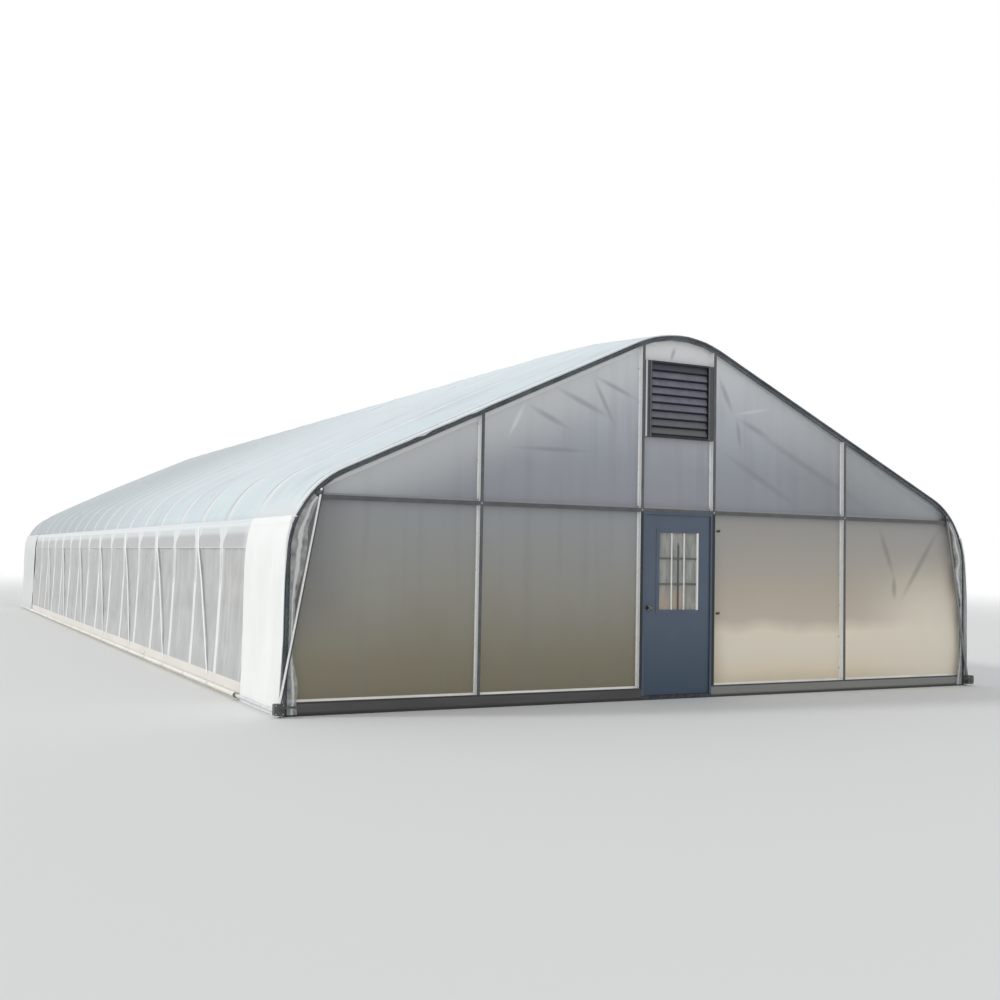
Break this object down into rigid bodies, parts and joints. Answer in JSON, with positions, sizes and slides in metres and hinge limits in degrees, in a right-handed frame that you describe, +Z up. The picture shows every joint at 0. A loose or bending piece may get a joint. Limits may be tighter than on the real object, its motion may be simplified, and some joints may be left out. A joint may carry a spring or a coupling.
{
  "type": "polytunnel greenhouse",
  "caption": "Long film-covered tunnel greenhouse on bent steel bows, with roll-up side curtains and a translucent end wall with a half-lit door and gable vent.",
  "frame": {"origin": "centre of the footprint at ground level", "axes": "+X across the tunnel to the right of someone facing the door, +Y from the door wall to the rear wall, +Z up"},
  "size_m": [9.348, 23.3388, 4.1177],
  "materials": {
    "galvanised_steel": "galvanised",
    "hip_rail": "white film lock rail",
    "roof_film": "translucent polyethylene film",
    "curtain_film": "translucent woven film",
    "white_film": "white film",
    "strap": "woven strap",
    "board": "pale painted board",
    "sill": "dark grey board",
    "end_frame": "grey galvanised tube",
    "dark_trim": "dark grey trim",
    "twin_wall": "twin-wall polycarbonate",
    "vent": "grey louvre",
    "gearbox": "dark casting",
    "door_paint": "slate blue paint",
    "threshold": "mill finish",
    "glass": "clear pane",
    "bars": "white bars",
    "hinge": "steel",
    "knob": "bright metal"
  },
  "bodies": {
    "greenhouse": {"bow_legs": "galvanised_steel", "bow_haunches": "galvanised_steel", "bow_rafters": "galvanised_steel", "bow_crowns": "galvanised_steel", "ridge_purlin": "galvanised_steel", "side_purlins": "galvanised_steel", "hip_rails": "hip_rail", "shoulder_films": "roof_film", "roof_films": "roof_film", "ridge_film": "roof_film", "side_boards": "board", "right_curtain": "curtain_film", "left_curtain": "curtain_film", "side_end_films": "white_film", "roll_tubes": "galvanised_steel", "curtain_straps": "strap", "crank_gearboxes": "gearbox", "guide_poles": "galvanised_steel", "collar_ties": "galvanised_steel", "truss_webs": "galvanised_steel", "wind_braces": "galvanised_steel", "front_arch_trim": "dark_trim", "rear_arch_trim": "dark_trim", "front_sills": "sill", "front_posts": "end_frame", "front_girts": "end_frame", "front_lower_panels": "twin_wall", "front_upper_panels": "twin_wall", "vent_frame": "vent", "vent_blades": "vent", "threshold": "threshold", "door_frame": "door_paint", "hinge_frames": "hinge", "rear_sill": "sill", "rear_posts": "end_frame", "rear_girts": "end_frame", "rear_lower_panels": "twin_wall", "rear_upper_panels": "twin_wall"},
    "door": {"door_leaf": "door_paint", "lite_frame": "door_paint", "door_glass": "glass", "door_bars": "bars", "hinge_leaves": "hinge", "knob_roses": "knob"},
    "knob": {"door_knob": "knob"}
  },
  "joints": [
    {"name": "door_hinge", "type": "hinge", "parent": "greenhouse", "child": "door", "pos_m": [0.46, -11.5134, 1.0595], "axis": [0, 0, -1], "range_deg": [0, 100]},
    {"name": "knob_turn", "type": "hinge", "parent": "door", "child": "knob", "pos_m": [-0.387, -11.5434, 1.02], "axis": [0, 1, 0], "range_deg": [-60, 60]}
  ]
}
